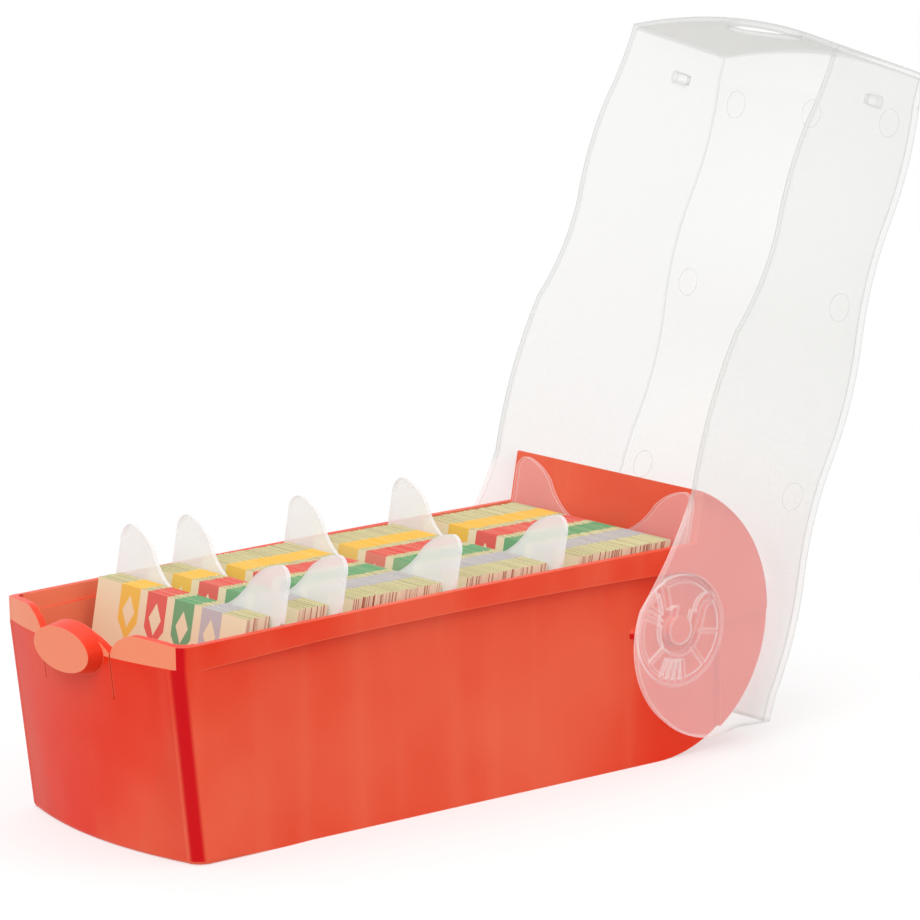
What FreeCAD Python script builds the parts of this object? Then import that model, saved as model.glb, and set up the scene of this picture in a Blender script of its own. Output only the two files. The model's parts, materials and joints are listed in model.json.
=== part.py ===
"""Index card drawer: a moulded tray, a wavy clear lid that swings on two bosses, a sprung
latch tongue, five dividers and five decks of cards.

Frame: +X runs from the front to the back, +Z is up, and the origin is the middle of the
line below the tray's front top corners, on the surface that the tray stands on.
"""
import FreeCAD
import Part
import os
import re
import Sketcher

# Driving sizes, in millimetres and degrees: name, value, what it is
SIZES = [
    # cards
    ("card_width", 74.0, "card"),
    ("card_height", 62.4, "card"),
    ("card_jitter", 0.35, "how unevenly the cards stand"),
    ("card_room", 2.1, "room beside the cards"),
    # tray
    ("tray_length", 209.0, "front top corner to the back of the dome"),
    ("base_draft", 0.95, "how much narrower the foot is on each side"),
    ("rim_front_height", 61.6, "rim above the table at the front"),
    ("rim_rise", 2.0, "how much higher the rim is at the rear wall"),
    ("front_setback", 4.8, "foot of the front wall behind its top"),
    ("front_bow", 5.0, "how far the front wall bows out"),
    ("corner_radius", 4.5, "front corners in plan"),
    ("foot_radius", 1.2, "front bottom edge"),
    ("back_radius", 41.0, "round back of the tray"),
    ("rear_top_inset", 24.5, "top edge of the rear wall in front of the back"),
    ("tray_wall", 2.0, "wall"),
    ("floor_thickness", 2.0, "floor"),
    ("lean_angle", 11.5, "lean of the rear wall, dividers and cards"),
    ("recess_depth", 2.8, "how far the side panels are set in"),
    ("rim_band_front", 7.8, "proud band below the rim at the front"),
    ("rim_band_rear", 6.5, "proud band below the rim near the rear"),
    ("recess_start", 5.0, "where a side panel starts to sink in"),
    ("recess_run", 40.0, "length over which it sinks in"),
    ("heel_depth", 1.2, "set-in of the low corner behind the side panel"),
    ("heel_drop", 0.9, "upper edge of that corner below the pivot, at the panel"),
    ("heel_rise", 1.4, "upper edge of that corner above the pivot, at the back"),
    ("recess_knee_rise", 0.9, "bend in the panel's upper edge above a straight line"),
    ("dome_edge_radius", 0.8, "rounded edge of the round back"),
    # pivot of the lid
    ("pin_setback", 6.0, "pivot behind the centre of the round back"),
    ("pin_drop", 1.8, "pivot below the centre of the round back"),
    ("panel_arc_radius", 16.9, "round end of the side panel about the pivot"),
    ("boss_radius", 4.3, "pivot boss"),
    ("boss_tip_gap", 0.3, "between the pivot boss and the cheek"),
    ("boss_chamfer", 0.6, "lead-in on the boss"),
    ("bead_distance", 13.5, "detent bead in front of the pivot"),
    ("bead_radius", 2.4, "detent bead"),
    ("bead_height", 1.7, "detent bead above the side panel"),
    # front pads and latch
    ("pad_depth", 7.0, "front zone that the pads and the latch take"),
    ("pad_crest_rise", 1.2, "highest point of a pad above the rim"),
    ("pad_crest_y", 27.0, "highest point of a pad from the middle"),
    ("pad_drop", 5.1, "pad beside the latch tongue, below the rim"),
    ("tongue_width", 34.0, "latch tongue"),
    ("tongue_root_drop", 18.1, "root of the latch tongue below the rim"),
    ("tongue_crest_rise", 0.4, "top of the latch tongue above the rim"),
    ("slit_gap", 0.5, "slit beside the tongue"),
    ("pad_bevel_height", 7.0, "bevelled top of the front wall"),
    ("pad_bevel_depth", 0.6, "how far that bevel leans back"),
    ("button_width", 27.6, "oval button"),
    ("button_height", 12.4, "oval button"),
    ("button_skirt", 1.1, "how much wider the button's foot is all round"),
    ("button_reach", 4.3, "button face in front of the bowed wall"),
    ("button_drop", 6.2, "middle of the button below the rim"),
    # lid
    ("lid_wall", 1.6, "lid wall"),
    ("lid_side_gap", 0.4, "between the tray and the lid's cheeks at the plate"),
    ("lid_front_gap", 0.6, "between the tray's front corners and the end plate"),
    ("lid_flare", 1.4, "how much each cheek leans out down to its free edge"),
    ("plate_gap", 1.3, "between the fins and the crests of the plate"),
    ("wave_length", 72.0, "waves of the plate"),
    ("wave_height", 1.5, "waves of the plate, half the height"),
    ("wave_start", 12.5, "first rise of the wave behind the pivot"),
    ("plate_rear", 18.0, "plate behind the pivot"),
    ("cheek_back", 29.4, "cheek behind the pivot"),
    ("cheek_low", 17.4, "cheek below the pivot"),
    ("hole_gap", 1.1, "oval hole round the button"),
    ("hole_margin", 4.8, "end plate below the oval hole"),
    ("lid_angle", 109.0, "how far the lid stands open"),
    ("lid_edge_radius", 1.2, "rounded edge between the plate and a cheek"),
    ("stop_lug_length", 3.0, "stop lug that lands on the rim"),
    ("stop_lug_height", 5.6, "stop lug"),
    ("stop_lug_setback", 1.0, "stop lug behind the pads"),
    ("stop_lug_gap", 0.3, "between the stop lug and the rim"),
    ("ring_gap", 0.7, "between the dial ring and the end of the side panel"),
    ("ring_width", 1.8, "dial ring"),
    ("dial_rib", 0.9, "height and thickness of the low dial ribs"),
    ("seat_gap", 0.07, "running fit of the boss in its seat"),
    ("seat_rib", 3.0, "wall of the bearing seat"),
    ("seat_height", 2.2, "bearing seat above the cheek"),
    # dividers
    ("divider_thickness", 1.3, "divider"),
    ("divider_gap", 0.5, "between a divider and the side panels"),
    ("fin_gap", 0.7, "between a fin and the rim"),
    ("fin_drop", 1.1, "fins below the top of the rear wall"),
    ("fin_shoulder_drop", 5.6, "where a fin starts to round, below its peak"),
    ("fin_peak_inset", 4.0, "fin peak from the fin's outer edge"),
    ("fin_slope_inset", 16.2, "middle of a fin's slope from its outer edge"),
    ("fin_slope_drop", 5.6, "middle of a fin's slope below its peak"),
    ("valley_y", 8.0, "end of the flat valley from the middle"),
    ("valley_drop", 1.9, "valley below the top of the cards"),
    ("stand_gap", 0.3, "gap under cards and dividers"),
    # general
    ("overrun", 6.0, "how far a cutter passes the piece that it cuts"),
]

BACK_X = "(tray_length - back_radius)"
REAR_TOP_Z = "(back_radius + sqrt(back_radius ^ 2 - (back_radius - rear_top_inset) ^ 2))"


def rear_wall_x(height):
    """Front face of the leaning rear wall at a height."""
    return f"(tray_length - rear_top_inset - ({REAR_TOP_Z} - ({height})) * tan(lean_angle))"


# Sizes that follow from the driving ones
DERIVED = {
    "tray_width": "card_width + 2 * (card_room + tray_wall + recess_depth)",
    "base_width": "tray_width - 2 * base_draft",
    "rim_rear_height": "rim_front_height + rim_rise",
    "rear_top_x": "tray_length - rear_top_inset",
    "recess_front_height": "rim_front_height - rim_band_front",
    "recess_mid_height": "rim_rear_height - rim_band_rear",
    "recess_knee_height": "(recess_front_height + recess_mid_height) / 2 + recess_knee_rise",
    "bevel_foot_height": "rim_front_height - pad_bevel_height",
    "bevel_foot_width": "tray_width - 2 * base_draft * pad_bevel_height / rim_front_height",
    "bevel_foot_x": "front_setback * pad_bevel_height / rim_front_height - pad_bevel_depth",
    "pin_x": "tray_length - back_radius + pin_setback",
    "pin_height": "back_radius - pin_drop",
    "bay_length": rear_wall_x("floor_thickness"),
    "pad_crest_height": "rim_front_height + pad_crest_rise",
    "pad_low_height": "rim_front_height - pad_drop",
    "tongue_root_height": "rim_front_height - tongue_root_drop",
    "tongue_crest_height": "rim_front_height + tongue_crest_rise",
    "notch_y": "tongue_width / 2 + slit_gap",
    "button_centre_height": "rim_front_height - button_drop",
    "lid_length": "pin_x + lid_front_gap + lid_wall",
    "lid_end_bow": "front_bow",
    "lid_top_width": "tray_width + 2 * (lid_side_gap + lid_wall)",
    "lid_edge_width": "lid_top_width + 2 * lid_flare",
    "fin_top": f"{REAR_TOP_Z} - fin_drop",
    "plate_height": "fin_top + plate_gap + wave_height + lid_wall - pin_height",
    "cheek_height": "plate_height + wave_height + cheek_low",
    "cheek_face": "lid_edge_width / 2 - lid_wall - lid_flare * cheek_low / cheek_height",
    "boss_length": "cheek_face - boss_tip_gap - tray_width / 2 + recess_depth",
    "ring_radius": "panel_arc_radius - ring_gap",
    "seat_radius": "boss_radius + seat_gap",
    "lid_hole_width": "button_width + 2 * hole_gap",
    "lid_hole_height": "button_height + 2 * hole_gap",
    "end_foot": "button_centre_height - lid_hole_height / 2 - hole_margin - pin_height",
    "divider_width": "tray_width - 2 * (recess_depth + tray_wall + divider_gap)",
    "fin_width": "tray_width - 2 * (tray_wall + fin_gap)",
    "fin_height": "(fin_top - floor_thickness - stand_gap) / cos(lean_angle)",
    "fin_shoulder": "fin_height - fin_shoulder_drop",
    "fin_peak_y": "fin_width / 2 - fin_peak_inset",
    "fin_slope_y": "fin_width / 2 - fin_slope_inset",
    "fin_slope_height": "fin_height - fin_slope_drop",
    "valley_height": "card_height - valley_drop",
    "waist_height": "(recess_mid_height + tray_wall + stand_gap - floor_thickness) / cos(lean_angle)",
}

# Front foot of each divider, and front foot and thickness of each deck, as shares of the bay's length
DIVIDER_SHARES = [0.142, 0.256, 0.489, 0.713]
DECK_SHARES = [(0.090, 0.0474), (0.192, 0.0604), (0.301, 0.1836), (0.536, 0.1729), (0.7745, 0.2049)]
PACKET_COUNTS = [3, 4, 10, 9, 11]

# How far the middle of a quarter round lies inside its corner, as a share of the radius
ROUND_SHARE = 0.293

# Middle of the rim's gentle arch, as a share of its rise, and the bend in the panel's upper edge
RIM_ARCH_SHARE = 0.75
PANEL_BEND_SHARE = 0.6

# Pad beside the tongue: corner and a point on the arc to it, as shares of its run and its rise
PAD_CURVE_SHARES = [(0.5, 0.75, 0.167, 0.4), (1.0, 1.0, 0.75, 0.937)]
PAD_SLOPE_SHARE = 0.667

# Half waves of the lid's plate
HALF_WAVES = 5

# Free edge of a cheek: corner and a point on the arc to it, as shares of the lid's length in front
# of the pivot and of the cheek's depth below it
CHEEK_FRONT_SHARES = [(0.863, -0.018, 0.925, -0.16), (0.681, 0.063, 0.778, 0.086),
                      (0.5, 0.414, 0.585, 0.15), (0.222, 0.506, 0.366, 0.569), (0.016, 1.0, 0.113, 0.684)]

# The same edge behind the pivot, as shares of the cheek's back, its depth and the plate's height
CHEEK_HEEL_SHARES = (0.918, 0.115, 0.442, -0.822)
CHEEK_REAR_SHARES = (0.823, 0.69, 1.0, 0.3)

# Guide ribs that lead the boss into its seat: corners and points on arcs, as shares of the dial's radius
# in front of the pivot and below it
GUIDE_SHARES = {
    "lower": [(0.031, 0.278), (0.735, 0.599, 0.432, 0.407), (0.593, 0.741), (-0.031, 0.452, 0.346, 0.556)],
    "upper": [(0.031, -0.278), (0.469, -0.253, 0.247, -0.284), (0.796, -0.494, 0.673, -0.327),
              (0.673, -0.654), (0.432, -0.451, 0.58, -0.506), (-0.031, -0.452, 0.21, -0.463)],
}

# Directions of the dial's ribs from the rear, in degrees, and the reach of the detent ribs as shares
# of the dial's radius
SPOKE_ANGLES = (-37, 56, 99, -95, -107)
DETENT_ANGLES = (-8, 2, 12, 22)
DETENT_START_SHARE = 0.55
DETENT_LENGTH_SHARE = 0.37
SEAT_MOUTH_SHARE = 0.7

# Stop of the ring beside the mouth of the channel, as shares of the dial's radius
STOP_START_SHARE = 0.7
STOP_HALF_SHARE = 0.58

# Divider fins: a point on each arc, as shares of the run and the rise of that arc
FIN_CORNER_SHARES = (0.2, 0.7)
FIN_TOP_SHARES = (0.55, 0.75)
FIN_SLOPE_SHARES = (0.52, 0.28)
PACKET_JITTER_SHARES = [0.2, -0.9, 0.6, -0.3, 1.0, -0.6, 0.4, -1.0, 0.8, 0.0, -0.5]

# Distance below which two points count as one, in millimetres
TOUCH = 0.001

NAMES = {name for name, _, _ in SIZES}

doc = FreeCAD.newDocument("index_card_drawer")
sheet = doc.addObject("Spreadsheet::Sheet", "Sizes")


def write_sheet():
    """Write every driving size to a cell of the sheet and name the cell."""
    for row, (name, value, note) in enumerate(SIZES, start=1):
        sheet.set(f"A{row}", name)
        sheet.set(f"B{row}", str(value))
        sheet.set(f"C{row}", note)
        sheet.setAlias(f"B{row}", name)
    doc.recompute()


def expr(text):
    """Turn a formula in plain size names into one that reads the sheet."""
    def link(match):
        word = match.group()
        if word in DERIVED:
            return f"({expr(DERIVED[word])})"
        return f"Sizes.{word}" if word in NAMES else word
    return re.sub(r"[a-z][a-z_]*", link, text)


def number(text):
    """Value of a formula in plain size names."""
    result = sheet.evalExpression(expr(text))
    return float(getattr(result, "Value", result))


def bind(item, **formulas):
    """Bind properties of an object to formulas."""
    for prop, text in formulas.items():
        item.setExpression(prop.replace("__", "."), expr(text))
    return item


def vector(x, y, z):
    """Shorthand for a vector."""
    return FreeCAD.Vector(x, y, z)


PLANES = {
    "plan": FreeCAD.Rotation(),
    "side": FreeCAD.Rotation(vector(1, 0, 0), 90),
    "front": FreeCAD.Rotation(vector(1, 1, 1), 120),
}
PLANE_NORMALS = {"plan": vector(0, 0, 1), "side": vector(0, -1, 0), "front": vector(1, 0, 0)}
LIFT_AXES = {"plan": "z", "side": "y", "front": "x"}


def fill_sketch(sketch, loops):
    """Draw closed loops whose corners are held by formulas.

    A corner is (x, y); an arc that ends at a corner is (x, y, through_x, through_y).
    """
    for loop in loops:
        corners = [(number(c[0]), number(c[1])) for c in loop]
        first = sketch.GeometryCount
        for i, corner in enumerate(loop):
            start, end = corners[i - 1], corners[i]
            a, b = vector(*start, 0), vector(*end, 0)
            if len(corner) == 4:
                through = vector(number(corner[2]), number(corner[3]), 0)
                sketch.addGeometry(Part.Arc(a, through, b), False)
            else:
                sketch.addGeometry(Part.LineSegment(a, b), False)
        hold_loop(sketch, loop, first)


def hold_loop(sketch, loop, first):
    """Hold the corners of one loop, and a point on each of its arcs, by formulas."""
    count = len(loop)
    for i, corner in enumerate(loop):
        edge = first + i
        curve = sketch.Geometry[edge]
        target = vector(number(corner[0]), number(corner[1]), 0)
        start, end = ends_of(sketch, edge)
        end_pos = 2 if end.distanceToPoint(target) <= start.distanceToPoint(target) else 1
        hold_point(sketch, edge, end_pos, corner[0], corner[1])
        follower = first + (i + 1) % count
        begin, finish = ends_of(sketch, follower)
        near = 1 if begin.distanceToPoint(target) <= finish.distanceToPoint(target) else 2
        sketch.addConstraint(Sketcher.Constraint("Coincident", edge, end_pos, follower, near))
        if len(corner) == 4:
            through = vector(number(corner[2]), number(corner[3]), 0)
            mark = sketch.addGeometry(Part.Point(through), True)
            hold_point(sketch, mark, 1, corner[2], corner[3])
            sketch.addConstraint(Sketcher.Constraint("PointOnObject", mark, 1, edge))


def ends_of(sketch, edge):
    """Start and end point of one edge of a sketch, in the order that the solver names them."""
    return sketch.getPoint(edge, 1), sketch.getPoint(edge, 2)


def hold_point(sketch, edge, position, x, y):
    """Hold one point of a sketch at two formulas."""
    for kind, text in (("DistanceX", x), ("DistanceY", y)):
        value = number(text)
        index = sketch.addConstraint(Sketcher.Constraint(kind, -1, 1, edge, position, value))
        sketch.setExpression(f"Constraints[{index}]", expr(text))


def sketch_on(name, plane, loops, offset="0"):
    """Make a sketch on a plane of the part's frame, lifted along the plane's own axis."""
    sketch = doc.addObject("Sketcher::SketchObject", name)
    sketch.Placement = FreeCAD.Placement(vector(0, 0, 0), PLANES[plane])
    fill_sketch(sketch, loops)
    if offset != "0":
        bind(sketch, **{"Placement__Base__" + LIFT_AXES[plane]: offset})
    return sketch


def extrude(name, plane, loops, ahead, back="0"):
    """Extrude loops along the plane's axis, ahead along it and back against it."""
    sketch = sketch_on(name + "_outline", plane, loops)
    solid = doc.addObject("Part::Extrusion", name)
    solid.Base = sketch
    solid.DirMode = "Custom"
    solid.Dir = PLANE_NORMALS[plane]
    solid.Solid = True
    return bind(solid, LengthFwd=ahead, LengthRev=back)


def common(name, *pieces):
    """What all pieces share."""
    solid = doc.addObject("Part::MultiCommon", name)
    solid.Shapes = list(pieces)
    return solid


def fuse(name, *pieces):
    """All pieces in one."""
    solid = doc.addObject("Part::MultiFuse", name)
    solid.Shapes = list(pieces)
    solid.Refine = True
    return solid


def cut(name, base, tool):
    """The base without the tool."""
    solid = doc.addObject("Part::Cut", name)
    solid.Base = base
    solid.Tool = tool
    return solid


def cylinder(name, radius, length, x, y, z, outward=1):
    """Cylinder along Y that starts at a point and runs to +Y, or to -Y where outward is -1."""
    solid = doc.addObject("Part::Cylinder", name)
    solid.Placement = FreeCAD.Placement(vector(0, 0, 0), FreeCAD.Rotation(vector(1, 0, 0), -90 * outward))
    bind(solid, Radius=radius, Height=length)
    return bind(solid, Placement__Base__x=x, Placement__Base__y=y, Placement__Base__z=z)


def mirrored(name, piece):
    """The piece and its mirror image on the other side of the drawer."""
    twin = doc.addObject("Part::Mirroring", name + "_twin")
    twin.Source = piece
    twin.Normal = vector(0, 1, 0)
    both = doc.addObject("Part::Compound", name)
    both.Links = [piece, twin]
    return both


def plan_loop(half, inset, front):
    """Outline of the tray in plan: bowed front with round corners, open far behind the dome.

    half is the half width, inset is taken off all round, front moves the bowed face back.
    """
    side = f"({half} - {inset})"
    edge = f"({front} + {inset})"
    turn = f"({side} - corner_radius)"
    slack = f"corner_radius * {ROUND_SHARE}"
    far = "(tray_length + overrun)"
    return [(far, f"-{side}"), (far, side),
            (f"{edge} + corner_radius", side),
            (f"{edge}", turn, f"{edge} + {slack}", f"{side} - {slack}"),
            (f"{edge}", f"-{turn}", f"{edge} - front_bow", "0"),
            (f"{edge} + corner_radius", f"-{side}", f"{edge} + {slack}", f"-({side} - {slack})")]


def tray_block(name, inset, foot_levels):
    """Lofted block of the tray: drafted up to the rim, straight above it.

    foot_levels are pairs of a height and what is taken off there, from the lowest up. The outside
    has a bevel at the top of the front wall, the hollow has none.
    """
    rim_loop = plan_loop("tray_width / 2", inset, "0")
    levels = [(plan_loop("base_width / 2", f"({inset} + {less})", "front_setback"), height)
              for height, less in foot_levels]
    if inset == "0":
        levels.append((plan_loop("bevel_foot_width / 2", inset, "bevel_foot_x"), "bevel_foot_height"))
    levels += [(rim_loop, "rim_front_height"), (rim_loop, "back_radius * 2")]
    block = doc.addObject("Part::Loft", name)
    block.Sections = [sketch_on(f"{name}_level_{i}", "plan", [loop], level)
                      for i, (loop, level) in enumerate(levels)]
    block.Ruled = True
    block.Solid = True
    return block


def tray_profile():
    """Tray from the side: flat foot, round back, leaning rear wall, rim that rises slightly."""
    front = "(0 - front_bow - overrun)"
    rim_end = rear_wall_x("rim_rear_height")
    return extrude("tray_profile", "side", [[
        (front, "0"), (BACK_X, "0"),
        ("rear_top_x", REAR_TOP_Z, "tray_length", "back_radius"),
        (rim_end, "rim_rear_height"),
        ("pad_depth", "rim_front_height",
         f"{rim_end} / 2", f"rim_front_height + rim_rise * {RIM_ARCH_SHARE}"),
        ("pad_depth", "rim_front_height + overrun"), (front, "rim_front_height + overrun")]],
        "tray_width", "tray_width")


def panel_region(name, inset):
    """Space outside the sunken side panels, set further in by a wall for the hollow."""
    top = f"+ {inset}"
    rear = f"(pin_x + panel_arc_radius + {inset})"
    side_view = extrude(f"{name}_side", "side", [[
        ("0 - overrun", "0 - overrun"), (rear, "0 - overrun"), (rear, "pin_height"),
        ("pin_x", f"pin_height + panel_arc_radius {top}",
         f"pin_x + (panel_arc_radius {top}) * cos(45)", f"pin_height + (panel_arc_radius {top}) * sin(45)"),
        ("recess_run + recess_start", f"recess_knee_height {top}",
         f"pin_x * {PANEL_BEND_SHARE}", f"recess_mid_height {top}"),
        ("0 - overrun", f"recess_front_height {top}",
         "(recess_run + recess_start) / 2", f"recess_front_height + recess_depth / 2 {top}")]],
        "tray_width", "tray_width")
    outer = "(tray_width / 2 + overrun)"
    start = f"(tray_width / 2 - {inset})"
    floor = f"(tray_width / 2 - recess_depth - {inset})"
    loops = []
    for sign in ("", "-"):
        loops.append([("recess_start", f"{sign}{start}"), ("recess_start + recess_run", f"{sign}{floor}"),
                      (rear, f"{sign}{floor}"), (rear, f"{sign}{outer}"), ("recess_start", f"{sign}{outer}")])
    plan_view = extrude(f"{name}_plan", "plan", loops, "rim_rear_height", "overrun")
    return common(name, side_view, plan_view)


def heel_region():
    """Low corner behind each side panel, set in a little."""
    front = "(pin_x + panel_arc_radius)"
    back = "(tray_length + overrun)"
    side_view = extrude("heel_side", "side", [[
        (front, "0 - overrun"), (back, "0 - overrun"), (back, "pin_height + heel_rise"),
        (front, "pin_height - heel_drop")]],
        "tray_width", "tray_width")
    floor = "(tray_width / 2 - heel_depth)"
    outer = "(tray_width / 2 + overrun)"
    loops = [[(front, f"{s}{floor}"), (back, f"{s}{floor}"), (back, f"{s}{outer}"), (front, f"{s}{outer}")]
             for s in ("", "-")]
    return common("heel_region", side_view, extrude("heel_plan", "plan", loops, "rim_rear_height", "overrun"))


def tray_hollow():
    """Card bay: walled all round, its back the leaning rear wall."""
    block = tray_block("bay_block", "tray_wall", [("0 - overrun", "0")])
    bay_foot = rear_wall_x("floor_thickness")
    bay_top = rear_wall_x("back_radius * 2 + overrun")
    view = extrude("bay_profile", "side", [[
        ("0 - front_bow - overrun", "floor_thickness"), (bay_foot, "floor_thickness"),
        (bay_top, "back_radius * 2 + overrun"), ("0 - front_bow - overrun", "back_radius * 2 + overrun")]],
        "tray_width", "tray_width")
    open_bay = common("open_bay", block, view)
    return cut("card_bay", open_bay, panel_region("panel_backing", "tray_wall"))


def pad_trim():
    """Cutter over the front wall that leaves the two pads beside the latch tongue."""
    high = "(rim_front_height + overrun * 2)"
    outer = "(tray_width / 2 + overrun)"
    loops = []
    for s in ("", "-"):
        def at(run_share, rise_share, sign=s):
            return (f"{sign}(notch_y + (pad_crest_y - notch_y) * {run_share})",
                    f"pad_low_height + (pad_crest_height - pad_low_height) * {rise_share}")
        curve = [at(*shares[:2]) + at(*shares[2:]) for shares in PAD_CURVE_SHARES]
        slope = (f"{s}tray_width / 2", "rim_front_height",
                 f"{s}(pad_crest_y + tray_width / 2) / 2",
                 f"rim_front_height + pad_crest_rise * {PAD_SLOPE_SHARE}")
        loops.append([(f"{s}notch_y", high), at(0, 0), *curve, slope,
                      (f"{s}{outer}", "rim_front_height"), (f"{s}{outer}", high)])
    return extrude("pad_trim", "front", loops, "pad_depth", "front_bow + overrun")


def tongue_region():
    """Front view of the latch tongue, with its arched top."""
    half = "(tongue_width / 2)"
    return extrude("tongue_outline", "front", [[
        (f"-{half}", "tongue_root_height"), (half, "tongue_root_height"), (half, "pad_low_height"),
        (f"-{half}", "pad_low_height", "0", "tongue_crest_height")]],
        "pad_depth", "front_bow + overrun")


def tongue_gap():
    """Gap that the tongue stands in: slits at its sides, closed at its root, open at the top."""
    half = "(tongue_width / 2 + slit_gap)"
    high = "(rim_front_height + overrun * 2)"
    return extrude("tongue_gap", "front", [[
        (f"-{half}", "tongue_root_height"), (half, "tongue_root_height"), (half, high), (f"-{half}", high)]],
        "pad_depth", "front_bow + overrun")


def pivot_boss():
    """Pivot boss and detent bead on each side panel, rooted in the wall."""
    face = "(tray_width / 2 - recess_depth)"
    root = f"({face} - tray_wall / 2)"
    shank = cylinder("boss_shank", "boss_radius", "boss_length - boss_chamfer + tray_wall / 2",
                     "pin_x", root, "pin_height")
    tip = doc.addObject("Part::Cone", "boss_tip")
    tip.Placement = FreeCAD.Placement(vector(0, 0, 0), FreeCAD.Rotation(vector(1, 0, 0), -90))
    bind(tip, Radius1="boss_radius", Radius2="boss_radius - boss_chamfer", Height="boss_chamfer",
         Placement__Base__x="pin_x", Placement__Base__y=f"{face} + boss_length - boss_chamfer",
         Placement__Base__z="pin_height")
    boss = fuse("boss", shank, tip)
    bead = doc.addObject("Part::Sphere", "bead")
    bead.Placement = FreeCAD.Placement(vector(0, 0, 0), FreeCAD.Rotation(vector(1, 0, 0), -90))
    bead.Angle1 = 0
    reach = "((bead_radius ^ 2 + bead_height ^ 2) / (2 * bead_height))"
    bind(bead, Radius=reach, Placement__Base__x="pin_x - bead_distance",
         Placement__Base__y=f"{face} + bead_height - {reach}", Placement__Base__z="pin_height")
    return [mirrored("bosses", boss), mirrored("beads", bead)]


def rounded(name, base, radius, picked):
    """The base with a round on every edge whose middle the test picks."""
    doc.recompute()
    size = number(radius)
    edges = []
    for index, edge in enumerate(base.Shape.Edges, start=1):
        first, last = edge.ParameterRange
        if picked(edge.valueAt((first + last) / 2)):
            edges.append((index, size, size))
    solid = doc.addObject("Part::Fillet", name)
    solid.Base = base
    solid.Edges = edges
    return solid


def on_dome_edge(point):
    """Whether a point lies on one of the two edges of the round back."""
    reach = vector(point.x - number(BACK_X), 0, point.z - number("back_radius")).Length
    beside = number("tray_width / 2 - base_draft") <= abs(point.y)
    return beside and abs(reach - number("back_radius")) < TOUCH and point.z > number("foot_radius")


def on_plate_edge(point):
    """Whether a point lies where the lid's wavy plate meets a cheek."""
    off_level = abs(point.z - number("plate_height"))
    off_side = abs(abs(point.y) - number("lid_top_width / 2"))
    return off_level < number("wave_height") + TOUCH and off_side < number("lid_wall / 2")


def build_tray():
    """Tray with its card bay, sunken side panels, pads, latch gap, bosses and beads."""
    rounded_foot = [("0", "foot_radius"), (f"foot_radius * {ROUND_SHARE}", f"foot_radius * {ROUND_SHARE}"),
                    ("foot_radius", "0")]
    block = tray_block("tray_block", "0", rounded_foot)
    sharp = common("tray_outside", block, tray_profile())
    outside = rounded("tray_rounded", sharp, "dome_edge_radius", on_dome_edge)
    panelled = cut("tray_panelled", outside, panel_region("panel_recess", "0"))
    heeled = cut("tray_heeled", panelled, heel_region())
    shell = cut("tray_shell", heeled, tray_hollow())
    trimmed = cut("tray_trimmed", shell, pad_trim())
    notched = cut("tray_notched", trimmed, tongue_gap())
    tray = fuse("tray", notched, *pivot_boss())
    return tray, shell


def oval(name, width, height, x, z):
    """Upright oval facing the front."""
    ring = doc.addObject("Part::Ellipse", name)
    ring.Placement = FreeCAD.Placement(vector(0, 0, 0), PLANES["front"])
    return bind(ring, MajorRadius=f"({width}) / 2", MinorRadius=f"({height}) / 2",
                Placement__Base__x=x, Placement__Base__z=z)


def build_latch(shell):
    """Latch tongue: a strip of the front wall with an arched top and an oval button."""
    strip = common("tongue_strip", shell, tongue_region())
    wall_x = "(front_setback * (1 - button_centre_height / rim_front_height) - front_bow)"
    skirt = oval("button_skirt_ring", "button_width + 2 * button_skirt", "button_height + 2 * button_skirt",
                 f"{wall_x} + tray_wall / 2", "button_centre_height")
    face = oval("button_face_ring", "button_width", "button_height",
                f"{wall_x} - button_reach", "button_centre_height")
    button = doc.addObject("Part::Loft", "button")
    button.Sections = [skirt, face]
    button.Ruled = True
    button.Solid = True
    return fuse("latch_tab", strip, button)


def wave_points(level):
    """Corners of the lid plate's wave from its rear end to past the end plate, at a level."""
    points = [("plate_rear + overrun * 4", level), ("wave_start", level)]
    for i in range(HALF_WAVES):
        end = f"wave_start - wave_length / 2 * {i + 1}"
        middle = f"wave_start - wave_length / 4 * {2 * i + 1}"
        lift = "+" if i % 2 == 0 else "-"
        points.append((end, level, middle, f"{level} {lift} wave_height"))
    points.append(("0 - lid_length - lid_end_bow - overrun", level))
    return points


def cheek_points():
    """Free edge of the lid's cheek, from the end plate round the dial to the rear of the plate."""
    def at(run, rise, shares):
        x, z, mid_x, mid_z = shares
        return (f"{run} * {x}", f"{rise} * {z}", f"{run} * {mid_x}", f"{rise} * {mid_z}")
    edge = [at("0 - lid_length", "0 - cheek_low", shares) for shares in CHEEK_FRONT_SHARES]
    edge.append(at("cheek_back", "cheek_low", CHEEK_HEEL_SHARES))
    edge.append(at("cheek_back", "plate_height", CHEEK_REAR_SHARES))
    return edge + [("plate_rear", "plate_height + wave_height + overrun")]


def lid_section(name, inset):
    """Lid across: walls that lean out towards the free edge."""
    top = f"(lid_top_width / 2 - {inset})"
    foot = f"(lid_edge_width / 2 - {inset})"
    high = "(plate_height + wave_height)"
    low = "(0 - cheek_low)"
    slope = "((lid_edge_width - lid_top_width) / 2 / cheek_height)"
    wide, narrow = f"({foot} + {slope} * overrun)", f"({top} - {slope} * overrun)"
    return extrude(name, "front", [[
        (f"-{wide}", f"{low} - overrun"), (wide, f"{low} - overrun"),
        (narrow, f"{high} + overrun"), (f"-{narrow}", f"{high} + overrun")]],
        "cheek_back + overrun * 2", "lid_length + lid_end_bow + overrun * 2")


def lid_plan(name, inset, rear):
    """Lid from above: straight walls and a bowed end plate."""
    half = "(lid_edge_width / 2 + overrun)"
    end = f"(0 - lid_length + {inset})"
    reach = "(lid_edge_width / 2)"
    return extrude(name, "plan", [[
        (rear, f"-{half}"), (rear, half), (end, half), (end, reach),
        (end, f"-{reach}", f"{end} - lid_end_bow", "0"), (end, f"-{half}")]],
        "plate_height + overrun * 2", "cheek_low + overrun * 2")


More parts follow.
